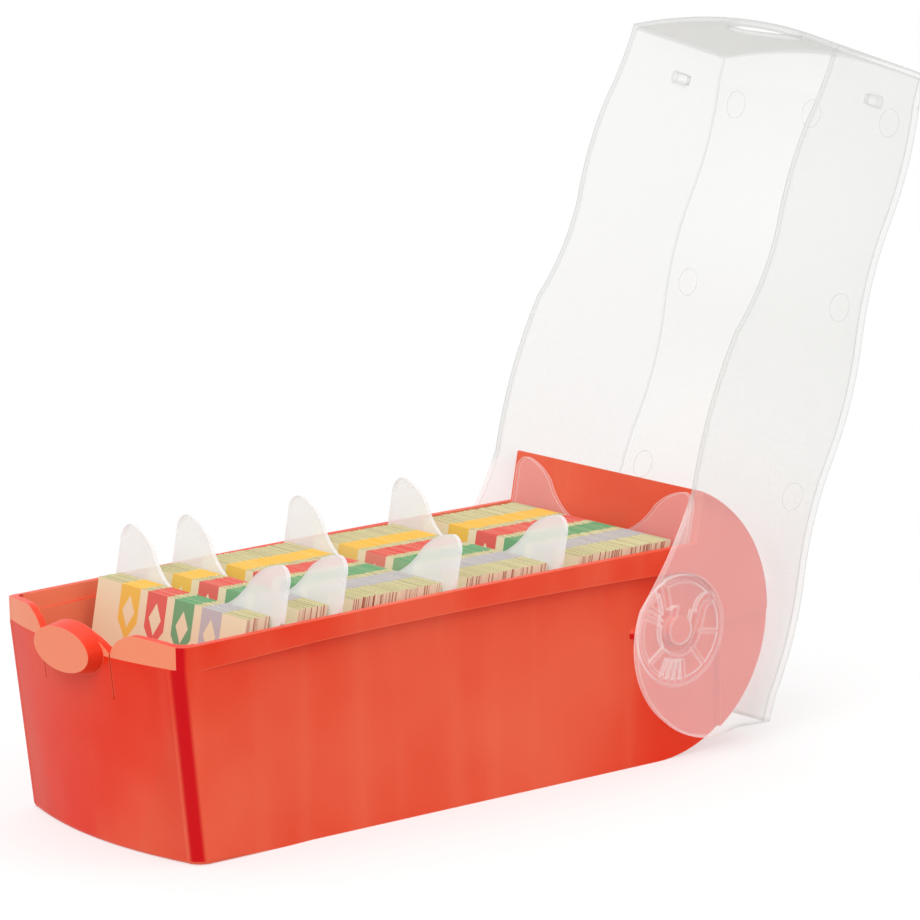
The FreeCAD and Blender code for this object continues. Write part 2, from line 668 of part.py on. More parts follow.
def lid_cover():
    """Wavy cover: its outside less its inside, open below and at the rear."""
    end = "(0 - lid_length - lid_end_bow - overrun)"
    outline = extrude("lid_outline", "side", [
        [(end, "plate_height + wave_height + overrun"), (end, "end_foot")] + cheek_points()],
        "lid_edge_width", "lid_edge_width")
    floor = "(0 - cheek_low - overrun)"
    under = extrude("lid_under_wave", "side", [
        wave_points("plate_height") + [(end, floor), ("plate_rear + overrun * 4", floor)]],
        "lid_edge_width", "lid_edge_width")
    sharp = common("lid_outside", outline, under, lid_section("lid_section_outer", "0"),
                   lid_plan("lid_plan_outer", "0", "cheek_back + overrun"))
    outside = rounded("lid_rounded", sharp, "lid_edge_radius", on_plate_edge)
    inner_wave = extrude("lid_inner_wave", "side", [
        wave_points("(plate_height - lid_wall)") + [(end, f"{floor} - overrun"),
                                                    ("plate_rear + overrun * 4", f"{floor} - overrun")]],
        "lid_edge_width", "lid_edge_width")
    inside = common("lid_inside", inner_wave, lid_section("lid_section_inner", "lid_wall"),
                    lid_plan("lid_plan_inner", "lid_wall", "cheek_back + overrun * 2"))
    return cut("lid_cover", outside, inside)


def dial_ring(name, outer, width, height):
    """Round rib on the inner face of a cheek, about the pivot."""
    start = f"(cheek_face - {height})"
    length = f"({height} + lid_wall / 2)"
    rim = cylinder(name + "_rim", outer, length, "0", start, "0")
    bore = cylinder(name + "_bore", f"{outer} - {width}", f"{length} + overrun * 2",
                    "0", f"{start} - overrun", "0")
    return cut(name, rim, bore)


def dial_rib(name, radius, angle, length, height):
    """Straight rib of the dial that points away from the pivot at an angle from the rear."""
    rib = doc.addObject("Part::Box", name)
    rib.Placement = FreeCAD.Placement(vector(0, 0, 0), FreeCAD.Rotation(vector(0, 1, 0), -angle))
    bind(rib, Length=length, Width=f"{height} + lid_wall / 2", Height="dial_rib")
    return bind(rib, Placement__Base__x=f"({radius}) * cos({angle}) + dial_rib / 2 * sin({angle})",
                Placement__Base__y=f"cheek_face - {height}",
                Placement__Base__z=f"({radius}) * sin({angle}) - dial_rib / 2 * cos({angle})")


def guide_rib(name, shares):
    """Rib of the channel that leads the boss into its seat, on the inner face of a cheek."""
    loop = [tuple(f"0 - ring_radius * {share}" for share in corner) for corner in shares]
    return extrude(name, "side", [loop], "0 - cheek_face + seat_height", "cheek_face + lid_wall / 2")


def lid_dial():
    """Dial on a cheek: ring, open bearing seat with its channel, spokes and detent ribs."""
    ring = dial_ring("ring", "ring_radius", "ring_width", "dial_rib")
    seat_ring = dial_ring("seat_ring", "(seat_radius + seat_rib)", "seat_rib", "seat_height")
    mouth = doc.addObject("Part::Box", "seat_mouth")
    mouth_reach = "(seat_radius + seat_rib + overrun)"
    bind(mouth, Length=mouth_reach, Width="seat_height + overrun",
         Height=f"seat_radius * 2 * {SEAT_MOUTH_SHARE}",
         Placement__Base__x=f"0 - {mouth_reach}", Placement__Base__y="cheek_face - seat_height - overrun",
         Placement__Base__z=f"0 - seat_radius * {SEAT_MOUTH_SHARE}")
    seat = cut("seat", seat_ring, mouth)
    guides = [guide_rib(f"guide_{side}", shares) for side, shares in GUIDE_SHARES.items()]
    inner = "seat_radius + seat_rib / 2"
    span = "ring_radius - seat_radius - seat_rib / 2 - ring_width / 2"
    spokes = [dial_rib(f"spoke_{i}", inner, angle, span, "dial_rib") for i, angle in enumerate(SPOKE_ANGLES)]
    detents = [dial_rib(f"detent_rib_{i}", f"ring_radius * {DETENT_START_SHARE}", angle,
                        f"ring_radius * {DETENT_LENGTH_SHARE}", "seat_height")
               for i, angle in enumerate(DETENT_ANGLES)]
    return mirrored("dials", fuse("dial", ring, seat, dial_stop(), *guides, *spokes, *detents))


def dial_stop():
    """Raised stretch of the ring that closes the channel's mouth."""
    tall_ring = dial_ring("stop_ring", "ring_radius", "ring_width", "seat_height")
    window = doc.addObject("Part::Box", "stop_window")
    bind(window, Length=f"ring_radius * (1 - {STOP_START_SHARE}) + overrun", Width="seat_height + lid_wall",
         Height=f"ring_radius * 2 * {STOP_HALF_SHARE}", Placement__Base__x="0 - ring_radius - overrun",
         Placement__Base__y="cheek_face - seat_height",
         Placement__Base__z=f"0 - ring_radius * {STOP_HALF_SHARE}")
    return common("dial_stop", tall_ring, window)


def stop_lugs():
    """Lugs inside the cheeks that land on the rim when the lid is shut."""
    lug = doc.addObject("Part::Box", "stop_lug")
    inner = "(tray_width / 2 - tray_wall / 2)"
    bind(lug, Length="stop_lug_length", Width=f"lid_top_width / 2 - lid_wall / 2 - {inner}",
         Height="stop_lug_height",
         Placement__Base__x="pad_depth + stop_lug_setback - pin_x", Placement__Base__y=inner,
         Placement__Base__z="rim_front_height + stop_lug_gap - pin_height")
    return mirrored("stop_lugs", lug)


def build_lid():
    """Lid, drawn closed about its pivot and stood open by its placement."""
    hole_ring = oval("lid_hole_ring", "lid_hole_width", "lid_hole_height", "0 - lid_length - lid_end_bow * 2",
                     "button_centre_height - pin_height")
    hole = doc.addObject("Part::Extrusion", "lid_hole")
    hole.Base = hole_ring
    hole.DirMode = "Custom"
    hole.Dir = PLANE_NORMALS["front"]
    hole.Solid = True
    bind(hole, LengthFwd="lid_end_bow * 2 + overrun")
    cover = cut("lid_holed", lid_cover(), hole)
    lid = fuse("lid", cover, lid_dial(), stop_lugs())
    lid.Placement = FreeCAD.Placement(vector(0, 0, 0), FreeCAD.Rotation(vector(0, 1, 0), 1))
    return bind(lid, Placement__Rotation__Angle="lid_angle", Placement__Base__x="pin_x",
                Placement__Base__z="pin_height")


def plane_of(body, role):
    """Origin plane of a body."""
    return next(item for item in body.Origin.OriginFeatures if item.Role == role)


def divider_loop():
    """Divider from the front: narrow between the panels, wider at the rim, two fins."""
    half = []
    for s in ("", "-"):
        half.append([
            (f"{s}divider_width / 2", "0"), (f"{s}divider_width / 2", "waist_height"),
            (f"{s}fin_width / 2", "waist_height + (fin_width - divider_width) / 2"),
            (f"{s}fin_width / 2", "fin_shoulder"),
            (f"{s}fin_peak_y", "fin_height",
             f"{s}(fin_width / 2 - (fin_width / 2 - fin_peak_y) * {FIN_CORNER_SHARES[0]})",
             f"fin_shoulder + (fin_height - fin_shoulder) * {FIN_CORNER_SHARES[1]}"),
            (f"{s}fin_slope_y", "fin_slope_height",
             f"{s}(fin_slope_y + (fin_peak_y - fin_slope_y) * {FIN_TOP_SHARES[0]})",
             f"fin_slope_height + (fin_height - fin_slope_height) * {FIN_TOP_SHARES[1]}"),
            (f"{s}valley_y", "valley_height",
             f"{s}(valley_y + (fin_slope_y - valley_y) * {FIN_SLOPE_SHARES[0]})",
             f"valley_height + (fin_slope_height - valley_height) * {FIN_SLOPE_SHARES[1]}")])
    right, left = half
    back = []
    for i in range(len(left) - 1, -1, -1):
        x, y = left[i][:2]
        after = left[i + 1] if i + 1 < len(left) else ()
        back.append((x, y) + tuple(after[2:4]))
    return right + back


def build_divider(index, foot):
    """Loose divider that leans like the rear wall and stands on the floor."""
    body = doc.addObject("PartDesign::Body", f"divider_{index}")
    sketch = body.newObject("Sketcher::SketchObject", f"divider_{index}_outline")
    sketch.AttachmentSupport = [(plane_of(body, "YZ_Plane"), "")]
    sketch.MapMode = "FlatFace"
    doc.recompute()
    fill_sketch(sketch, [divider_loop()])
    pad = body.newObject("PartDesign::Pad", f"divider_{index}_plate")
    pad.Profile = sketch
    bind(pad, Length="divider_thickness")
    body.Placement = FreeCAD.Placement(vector(0, 0, 0), FreeCAD.Rotation(vector(0, 1, 0), 1))
    return bind(body, Placement__Rotation__Angle="lean_angle", Placement__Base__x=foot,
                Placement__Base__z="floor_thickness + stand_gap + divider_thickness * sin(lean_angle)")


def build_deck(index, foot_share, depth_share, count):
    """Deck of cards: packets that stand on the floor one behind another and lean back."""
    packets = []
    for i in range(count):
        jitter = PACKET_JITTER_SHARES[(i * 3 + index * 2) % len(PACKET_JITTER_SHARES)]
        packet = doc.addObject("Part::Box", f"deck_{index}_packet_{i}")
        packet.Placement = FreeCAD.Placement(vector(0, 0, 0), FreeCAD.Rotation(vector(0, 1, 0), 1))
        depth = f"bay_length * {depth_share} / {count}"
        thickness = f"({depth} * cos(lean_angle))"
        bind(packet, Length=thickness, Width="card_width",
             Height=f"card_height + card_jitter * {jitter}",
             Placement__Rotation__Angle="lean_angle",
             Placement__Base__x=f"bay_length * {foot_share} + {depth} * {i}",
             Placement__Base__y=f"card_jitter * {-jitter} - card_width / 2",
             Placement__Base__z=f"floor_thickness + stand_gap + {thickness} * sin(lean_angle)")
        packets.append(packet)
    deck = doc.addObject("Part::Compound", f"card_deck_{index}")
    deck.Links = packets
    return deck


def check_document(nodes):
    """Stop if an object failed or a node's shape is empty or broken."""
    for item in doc.Objects:
        if "Invalid" in item.State or "Error" in item.State:
            raise RuntimeError(f"{item.Name} failed: {item.State}")
    for node in nodes:
        if node.Shape.isNull() or not node.Shape.isValid():
            raise RuntimeError(f"{node.Label} has no valid shape")


def main():
    """Build every node and write it to its own file."""
    write_sheet()
    tray, shell = build_tray()
    nodes = [tray, build_latch(shell), build_lid()]
    for index, share in enumerate(DIVIDER_SHARES, start=1):
        nodes.append(build_divider(index, f"bay_length * {share}"))
    last_foot = "bay_length - divider_thickness / cos(lean_angle) - stand_gap"
    nodes.append(build_divider(len(DIVIDER_SHARES) + 1, last_foot))
    for index, (foot, depth) in enumerate(DECK_SHARES, start=1):
        nodes.append(build_deck(index, foot, depth, PACKET_COUNTS[index - 1]))
    doc.recompute()
    check_document(nodes)
    os.makedirs("parts", exist_ok=True)
    for node in nodes:
        node.Label = node.Name
        node.Shape.exportStep(f"parts/{node.Label}.step")
        box = node.Shape.BoundBox
        print(node.Label, len(node.Shape.Solids), round(node.Shape.Volume), box)


main()
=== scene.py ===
"""Index card drawer: finishes for the moulded pieces, and the cards sheet by sheet.

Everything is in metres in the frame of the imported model: +X runs from the front of the
drawer to its round back, +Z is up, and the drawer stands on the plane z = 0.
"""

import json
import logging
import math
import random
from dataclasses import dataclass, field
from enum import Enum

import bpy
from mathutils import Matrix, Vector
from mathutils.bvhtree import BVHTree


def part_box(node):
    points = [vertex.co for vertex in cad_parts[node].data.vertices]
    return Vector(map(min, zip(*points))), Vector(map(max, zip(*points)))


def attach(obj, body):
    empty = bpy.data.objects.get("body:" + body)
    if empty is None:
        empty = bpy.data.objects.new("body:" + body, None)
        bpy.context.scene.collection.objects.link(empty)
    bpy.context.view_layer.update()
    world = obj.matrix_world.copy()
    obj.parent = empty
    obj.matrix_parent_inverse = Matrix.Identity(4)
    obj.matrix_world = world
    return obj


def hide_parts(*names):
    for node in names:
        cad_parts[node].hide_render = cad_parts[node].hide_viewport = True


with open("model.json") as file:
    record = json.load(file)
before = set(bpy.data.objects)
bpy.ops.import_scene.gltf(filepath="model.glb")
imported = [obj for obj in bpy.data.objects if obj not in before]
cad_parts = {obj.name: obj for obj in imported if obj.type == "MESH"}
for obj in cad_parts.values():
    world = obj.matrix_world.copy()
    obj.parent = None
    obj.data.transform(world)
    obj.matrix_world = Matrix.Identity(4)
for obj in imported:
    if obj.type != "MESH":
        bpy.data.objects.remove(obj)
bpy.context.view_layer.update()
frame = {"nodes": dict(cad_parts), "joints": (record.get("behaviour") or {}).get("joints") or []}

LOG = logging.getLogger("card_drawer")
MM = 0.001
DIVIDER_COUNT = 5
DECK_COUNT = 5

# The curve between screen values and linear light.
SCREEN_LARGEST = 255
SCREEN_KNEE = 0.04045
SCREEN_SLOPE = 12.92
SCREEN_OFFSET = 0.055
SCREEN_POWER = 2.4

NOISE_MEAN = 0.5
SOFT_DETAIL = 2.0
WHITE = (1.0, 1.0, 1.0)
SPACE_AXES = 3

Triple = tuple[float, float, float]
Colour = Triple
Span = tuple[float, float]
Socket = bpy.types.NodeSocket
Value = Socket | float | Triple


class Edge(Enum):
    """Which side of a card a face belongs to; the value is stored on the mesh."""

    SHEET = 0.0
    TOP = 1.0
    FLANK = 2.0


class Mark(Enum):
    """Colour marks printed along the top of every card."""

    AMBER = (0.92, 0.58, 0.08)
    RED = (0.80, 0.12, 0.10)
    GREEN = (0.16, 0.42, 0.20)
    GREY = (0.56, 0.53, 0.55)


def srgb(red: int, green: int, blue: int) -> Colour:
    """Turn screen values from 0 to 255 into linear light.

    Args:
        red: red value.
        green: green value.
        blue: blue value.

    Returns:
        The colour as three linear values.
    """
    def linear(value: int) -> float:
        share = value / SCREEN_LARGEST
        if share <= SCREEN_KNEE:
            return share / SCREEN_SLOPE
        return ((share + SCREEN_OFFSET) / (1.0 + SCREEN_OFFSET)) ** SCREEN_POWER

    return linear(red), linear(green), linear(blue)


def opaque(colour: Colour) -> tuple[float, float, float, float]:
    """Give a colour the alpha that colour sockets ask for."""
    return (*colour, 1.0)


class Graph:
    """Adds and links the nodes of one tree, so that a material reads as a few sentences."""

    colour_inputs = (6, 7)
    colour_output = 2
    bevel_samples = 4

    def __init__(self, tree: bpy.types.NodeTree) -> None:
        """Keep the tree and empty it."""
        self.tree = tree
        tree.nodes.clear()

    def add(self, kind: str, **settings: object) -> bpy.types.Node:
        """Add a node.

        Args:
            kind: node type, such as "ShaderNodeMath".
            settings: properties of the node.

        Returns:
            The new node.
        """
        node = self.tree.nodes.new(kind)
        for name, value in settings.items():
            setattr(node, name, value)
        return node

    def feed(self, target: Socket, source: Value) -> None:
        """Link a socket to another, or set it to a plain value."""
        if isinstance(source, bpy.types.NodeSocket):
            self.tree.links.new(source, target)
        else:
            target.default_value = source

    def math(self, operation: str, first: Value, second: Value = 0.0) -> Socket:
        """Work out one sum of two values and return its socket."""
        node = self.add("ShaderNodeMath", operation=operation)
        self.feed(node.inputs[0], first)
        self.feed(node.inputs[1], second)
        return node.outputs[0]

    def mix(self, share: Value, first: Value, second: Value) -> Socket:
        """Mix two colours and return the socket of the result."""
        node = self.add("ShaderNodeMix", data_type="RGBA")
        self.feed(node.inputs["Factor"], share)
        for number, colour in zip(self.colour_inputs, (first, second)):
            self.feed(node.inputs[number], opaque(colour) if isinstance(colour, tuple) else colour)
        return node.outputs[self.colour_output]

    def ramp(self, value: Value, low: Value, high: Value) -> Socket:
        """Smooth step of a value from 0 at low to 1 at high."""
        node = self.add("ShaderNodeMapRange", interpolation_type="SMOOTHSTEP")
        for name, source in (("Value", value), ("From Min", low), ("From Max", high)):
            self.feed(node.inputs[name], source)
        return node.outputs["Result"]

    def noise(self, scale: Value, detail: float = 3.0, vector: Socket | None = None) -> Socket:
        """Noise in object space, or along a given vector."""
        node = self.add("ShaderNodeTexNoise")
        self.feed(node.inputs["Scale"], scale)
        node.inputs["Detail"].default_value = detail
        where = vector or self.add("ShaderNodeTexCoord").outputs["Object"]
        self.tree.links.new(where, node.inputs["Vector"])
        return node.outputs["Fac"]

    def place(self) -> bpy.types.Node:
        """X, Y and Z of the point being shaded, in the frame."""
        node = self.add("ShaderNodeSeparateXYZ")
        self.tree.links.new(self.add("ShaderNodeTexCoord").outputs["Object"], node.inputs[0])
        return node

    def facing(self) -> bpy.types.Node:
        """X, Y and Z of the surface normal, in the frame."""
        node = self.add("ShaderNodeSeparateXYZ")
        self.tree.links.new(self.add("ShaderNodeTexCoord").outputs["Normal"], node.inputs[0])
        return node

    def product(self, *values: Value) -> Socket:
        """Multiply any number of values."""
        result = values[0]
        for value in values[1:]:
            result = self.math("MULTIPLY", result, value)
        return result

    def inverse(self, value: Value) -> Socket:
        """One less a value."""
        return self.math("SUBTRACT", 1.0, value)

    def stretched(self, x: float, y: float, z: float) -> Socket:
        """Point being shaded, with each axis scaled."""
        node = self.add("ShaderNodeVectorMath", operation="MULTIPLY")
        self.tree.links.new(self.add("ShaderNodeTexCoord").outputs["Object"], node.inputs[0])
        node.inputs[1].default_value = (x, y, z)
        return node.outputs[0]

    def edge(self, radius: float, gain: float) -> Socket:
        """Mask of the sharp edges: how far a rounded normal leaves the real one."""
        bevel = self.add("ShaderNodeBevel", samples=self.bevel_samples)
        bevel.inputs["Radius"].default_value = radius
        dot = self.add("ShaderNodeVectorMath", operation="DOT_PRODUCT")
        self.tree.links.new(bevel.outputs["Normal"], dot.inputs[0])
        self.tree.links.new(self.add("ShaderNodeNewGeometry").outputs["Normal"], dot.inputs[1])
        return self.ramp(dot.outputs["Value"], 1.0, 1.0 - 1.0 / gain)

    def stored(self, name: str) -> Socket:
        """Value that the mesh stores under a name."""
        return self.add("ShaderNodeAttribute", attribute_name=name).outputs["Fac"]

    def group(self, tree: bpy.types.NodeTree, **values: Value) -> bpy.types.Node:
        """Place a node group and feed its inputs; underscores stand for spaces."""
        node = self.add("ShaderNodeGroup", node_tree=tree)
        for name, source in values.items():
            self.feed(node.inputs[name.replace("_", " ")], source)
        return node


class Effects:
    """Node groups that more than one finish uses, each built once."""

    grain_inputs = {"Scale": 900.0, "Drift": 0.05, "Roughness": 0.3}
    pennant_inputs = {"Across": 0.0, "Drop": 0.0, "Centre": 0.0, "Half": 0.005, "Depth": 0.016}
    drift_scale = 28.0
    drift_detail = 4.0
    tip_slope = 0.35
    diamond_middle = 0.47
    diamond_squash = 2.1
    diamond_size = 0.62

    def __init__(self) -> None:
        """Build every group."""
        self.grain = self._grain()
        self.pennant = self._pennant()

    @staticmethod
    def _sockets(name: str, inputs: dict[str, float], outputs: tuple[str, ...]) -> bpy.types.NodeTree:
        """Start a group.

        Args:
            name: name of the group.
            inputs: input names and their values by default.
            outputs: output names.

        Returns:
            The group with its sockets and no nodes.
        """
        tree = bpy.data.node_groups.new(name, "ShaderNodeTree")
        for label, value in inputs.items():
            socket = tree.interface.new_socket(label, in_out="INPUT", socket_type="NodeSocketFloat")
            socket.default_value = value
        for label in outputs:
            tree.interface.new_socket(label, in_out="OUTPUT", socket_type="NodeSocketFloat")
        return tree

    def _grain(self) -> bpy.types.NodeTree:
        """Moulded grain: fine height, and roughness that drifts over the surface."""
        tree = self._sockets("moulded_grain", self.grain_inputs, ("Height", "Roughness"))
        graph = Graph(tree)
        given = graph.add("NodeGroupInput").outputs
        out = graph.add("NodeGroupOutput").inputs
        slow = graph.math("SUBTRACT", graph.noise(self.drift_scale, self.drift_detail), NOISE_MEAN)
        roughness = graph.math("ADD", given["Roughness"], graph.product(slow, given["Drift"]))
        graph.feed(out["Height"], graph.noise(given["Scale"], SOFT_DETAIL))
        graph.feed(out["Roughness"], roughness)
        return tree

    def _pennant(self) -> bpy.types.NodeTree:
        """Printed pennant that hangs from a card's top edge, with a diamond left bare in it."""
        tree = self._sockets("pennant", self.pennant_inputs, ("Mask",))
        graph = Graph(tree)
        given = graph.add("NodeGroupInput").outputs
        out = graph.add("NodeGroupOutput").inputs
        off = graph.math("ABSOLUTE", graph.math("SUBTRACT", given["Across"], given["Centre"]))
        side = graph.math("DIVIDE", off, given["Half"])
        down = graph.math("DIVIDE", given["Drop"], given["Depth"])
        tip = graph.math("ADD", down, graph.product(side, self.tip_slope))
        cloth = graph.product(graph.math("LESS_THAN", side, 1.0), graph.math("LESS_THAN", tip, 1.0))
        level = graph.math("ABSOLUTE", graph.math("SUBTRACT", down, self.diamond_middle))
        spread = graph.math("ADD", side, graph.product(level, self.diamond_squash))
        diamond = graph.math("LESS_THAN", spread, self.diamond_size)
        graph.feed(out["Mask"], graph.product(cloth, graph.inverse(diamond)))
        return tree


def new_material(name: str) -> tuple[bpy.types.Material, Graph, bpy.types.Node]:
    """Start a material.

    Args:
        name: name of the material.

    Returns:
        The material, its graph and its Principled node, already linked to the output.
    """
    material = bpy.data.materials.new(name)
    material.use_nodes = True
    graph = Graph(material.node_tree)
    shader = graph.add("ShaderNodeBsdfPrincipled")
    graph.feed(graph.add("ShaderNodeOutputMaterial").inputs["Surface"], shader.outputs["BSDF"])
    return material, graph, shader


def add_bump(graph: Graph, shader: bpy.types.Node, height: Socket, distance: float) -> None:
    """Feed a height to the shader's normal.

    Args:
        graph: graph of the material.
        shader: its Principled node.
        height: height from 0 to 1.
        distance: real depth of the relief in metres.
    """
    bump = graph.add("ShaderNodeBump")
    bump.inputs["Distance"].default_value = distance
    graph.feed(bump.inputs["Height"], height)
    graph.feed(shader.inputs["Normal"], bump.outputs["Normal"])


@dataclass(frozen=True)
class RedMoulding:
    """Red polypropylene of the tray and the latch tongue.

    A share is how far a mask turns the colour to another one. A span is the pair of values
    between which a mask grows from 0 to 1.
    """

    name: str = "tray_red_moulding"
    body: Colour = srgb(228, 47, 10)
    # Painted shade: the forward faces of the front wall get this deeper red, to cancel the sheen that the
    # light leaves on them.
    front_painted_shade: Colour = srgb(234, 40, 0)
    corner_painted_shade: Colour = srgb(206, 0, 12)
    # Colour of the pads and the button face; also of the painted light on clouds, pack streaks, inner
    # side-wall faces and rear faces, and of the painted highlight on edges.
    pale: Colour = srgb(246, 146, 110)
    roughness: float = 0.38
    specular: float = 0.16
    scatter: float = 0.06
    scatter_reach: Triple = (5.0 * MM, 1.0 * MM, 0.4 * MM)
    grain_scale: float = 1400.0
    grain_drift: float = 0.08
    grain_depth: float = 0.006 * MM
    forward_span: Span = (-0.45, -0.8)
    turned_span: Span = (0.14, 0.46)
    level_span: Span = (0.2, 0.5)
    cloud_scale: float = 11.0
    cloud_span: Span = (0.35, 0.75)
    cloud_share: float = 0.34
    streak_stretch: Triple = (90.0, 90.0, 6.0)
    streak_span: Span = (0.5, 0.8)
    streak_share: float = 0.1
    front_limit: float = 1.0 * MM
    front_shade_share: float = 0.7
    half_width: float = 37.0 * MM
    inside_span: Span = (0.5, 0.9)
    inside_share: float = 0.78
    rear_from: float = 120.0 * MM
    rear_fade: float = 1.2 * MM
    # Painted light: how far the forward faces of the rear part turn pale.
    rear_light_share: float = 0.16
    pad_fade: float = 0.2 * MM
    mottle_scale: float = 45.0
    mottle_least: float = 0.8
    mottle_gain: float = 0.4
    button_share: float = 0.9
    edge_radius: float = 0.5 * MM
    edge_gain: float = 6.0
    # Painted highlight: how far the sharp edges turn pale.
    edge_highlight_share: float = 0.45
    seam_span: Span = (0.6 * MM, 1.2 * MM)

    def build(self, effects: Effects, button_x: float, pad_z: float, seam_z: float) -> bpy.types.Material:
        """Build the material.

        Args:
            effects: shared node groups.
            button_x: surfaces in front of this are the pale button face.
            pad_z: lower edge of the pale pads.
            seam_z: height at which the latch tongue grows out of the wall.

        Returns:
            The material.
        """
        material, graph, shader = new_material(self.name)
        place, facing = graph.place(), graph.facing()
        grain = graph.group(effects.grain, Scale=self.grain_scale, Drift=self.grain_drift,
                            Roughness=self.roughness)
        forward = graph.ramp(facing.outputs["X"], *self.forward_span)
        front = graph.math("LESS_THAN", place.outputs["X"], self.front_limit)
        # Painted shade: the forward faces of the front wall turn a deeper red, against the light's sheen
        # there.
        tint = graph.mix(graph.product(front, forward, self.front_shade_share), self.body, self.front_painted_shade)
        # Painted light: the rear part's forward faces turn paler, and so do the clouds, pack streaks and
        # inner side-wall faces in the loop below.
        rear = graph.ramp(place.outputs["X"], self.rear_from, self.rear_from + self.rear_fade)
        for mask in (graph.product(self._cloud(graph), self.cloud_share),
                     graph.product(self._painted_pack_streaks(graph), self.streak_share),
                     graph.product(self._inside(graph, place, facing), self.inside_share),
                     graph.product(rear, forward, self.rear_light_share)):
            tint = graph.mix(mask, tint, self.pale)
        # Painted shade: the upright rounded corners turn deep red.
        tint = graph.mix(self._corner_shade(graph, facing), tint, self.corner_painted_shade)
        button = graph.math("LESS_THAN", place.outputs["X"], button_x)
        # Painted highlight: sharp edges turn pale, except beside the root of the latch tongue.
        edge = graph.edge(self.edge_radius, self.edge_gain)
        for mask in (graph.product(self._pads(graph, place, pad_z), front, forward, graph.inverse(button)),
                     graph.product(button, forward, self.button_share),
                     graph.product(edge, self._off_seam(graph, place, seam_z), self.edge_highlight_share)):
            tint = graph.mix(mask, tint, self.pale)
        graph.feed(shader.inputs["Base Color"], tint)
        graph.feed(shader.inputs["Roughness"], grain.outputs["Roughness"])
        shader.inputs["Specular IOR Level"].default_value = self.specular
        shader.inputs["Subsurface Weight"].default_value = self.scatter
        shader.inputs["Subsurface Radius"].default_value = self.scatter_reach
        shader.inputs["Subsurface Scale"].default_value = 1.0
        add_bump(graph, shader, grain.outputs["Height"], self.grain_depth)
        return material

    def _cloud(self, graph: Graph) -> Socket:
        """Mask of the broad pale clouds, where the wall lets more light through."""
        return graph.ramp(graph.noise(self.cloud_scale), *self.cloud_span)

    def _painted_pack_streaks(self, graph: Graph) -> Socket:
        """Mask of faint upright streaks, painted light and shade of the packs seen through the wall."""
        along = graph.stretched(*self.streak_stretch)
        return graph.ramp(graph.noise(1.0, SOFT_DETAIL, along), *self.streak_span)

    def _pads(self, graph: Graph, place: bpy.types.Node, pad_z: float) -> Socket:
        """Mottled mask of what lies above the lower edge of the pads."""
        high = graph.ramp(place.outputs["Z"], pad_z - self.pad_fade, pad_z)
        mottle = graph.product(graph.noise(self.mottle_scale, SOFT_DETAIL), self.mottle_gain)
        return graph.product(high, graph.math("ADD", self.mottle_least, mottle))

    def _off_seam(self, graph: Graph, place: bpy.types.Node, seam_z: float) -> Socket:
        """Mask that is 0 beside the root of the latch tongue, where the wall runs on."""
        away = graph.math("ABSOLUTE", graph.math("SUBTRACT", place.outputs["Z"], seam_z))
        return graph.ramp(away, *self.seam_span)

    def _corner_shade(self, graph: Graph, facing: bpy.types.Node) -> Socket:
        """Mask of the upright rounded corners, which are painted deep red as shade where they turn away
        from the light.
        """
        along = graph.math("ABSOLUTE", facing.outputs["X"])
        aside = graph.math("ABSOLUTE", facing.outputs["Y"])
        turned = graph.ramp(graph.math("MINIMUM", along, aside), *self.turned_span)
        level = graph.ramp(graph.math("ABSOLUTE", facing.outputs["Z"]), *self.level_span)
        return graph.product(turned, graph.inverse(level))

    def _inside(self, graph: Graph, place: bpy.types.Node, facing: bpy.types.Node) -> Socket:
        """Mask of the side walls' inner faces, which light through the wall makes paler."""
        inward = graph.product(place.outputs["Y"], facing.outputs["Y"], -1.0 / self.half_width)
        return graph.ramp(inward, *self.inside_span)


@dataclass(frozen=True)
class ClearMoulding:
    """Faintly frosted clear polypropylene of the lid and, denser, of the dividers."""

    name: str
    body: Colour
    shade: Colour
    rim: Colour
    face_alpha: float
    graze_alpha: float
    rim_alpha: float
    roughness: float
    rim_radius: float = 1.1 * MM
    hub_painted_light: Colour = srgb(255, 246, 244)
    hub_reach: float = 34.0 * MM
    hub_fade: float = 5.0 * MM
    passed_light: float = 0.7
    rim_gain: float = 9.0
    graze_blend: float = 0.3
    grain_scale: float = 500.0
    grain_drift: float = 0.1

    def build(self, effects: Effects, hub: Vector | None = None) -> bpy.types.Material:
        """Build the material.

        Args:
            effects: shared node groups.
            hub: middle of the hub, about which the lid's skin and rims are painted lighter, as painted
                light for the light that its thick ribs and edges scatter.

        Returns:
            The material.
        """
        material, graph, shader = new_material(self.name)
        grain = graph.group(effects.grain, Scale=self.grain_scale, Drift=self.grain_drift,
                            Roughness=self.roughness)
        weight = graph.add("ShaderNodeLayerWeight")
        weight.inputs["Blend"].default_value = self.graze_blend
        graze = weight.outputs["Facing"]
        rim = graph.edge(self.rim_radius, self.rim_gain)
        rise = graph.product(graze, self.graze_alpha - self.face_alpha)
        skin = graph.product(graph.math("ADD", self.face_alpha, rise), graph.inverse(rim))
        alpha = graph.math("ADD", skin, graph.product(rim, self.rim_alpha))
        line = self.rim
        skin_tint = graph.mix(graze, self.body, self.shade)
        # Painted light: about the hub, the lid's skin and rims turn nearly white.
        if hub is not None:
            near = self._near(graph, hub)
            line = graph.mix(near, self.rim, self.hub_painted_light)
            skin_tint = graph.mix(near, skin_tint, self.hub_painted_light)
        graph.feed(shader.inputs["Base Color"], graph.mix(rim, skin_tint, line))
        shadow = graph.add("ShaderNodeLightPath").outputs["Is Shadow Ray"]
        held = graph.inverse(graph.product(shadow, self.passed_light))
        graph.feed(shader.inputs["Alpha"], graph.product(alpha, held))
        graph.feed(shader.inputs["Roughness"], grain.outputs["Roughness"])
        return material

    def _near(self, graph: Graph, hub: Vector) -> Socket:
        """Mask of what lies about the hub, seen from the side."""
        place = graph.place()
        along = graph.math("SUBTRACT", place.outputs["X"], hub.x)
        up = graph.math("SUBTRACT", place.outputs["Z"], hub.z)
        squares = graph.math("ADD", graph.product(along, along), graph.product(up, up))
        reach = graph.math("SQRT", squares)
        return graph.inverse(graph.ramp(reach, self.hub_reach, self.hub_reach + self.hub_fade))


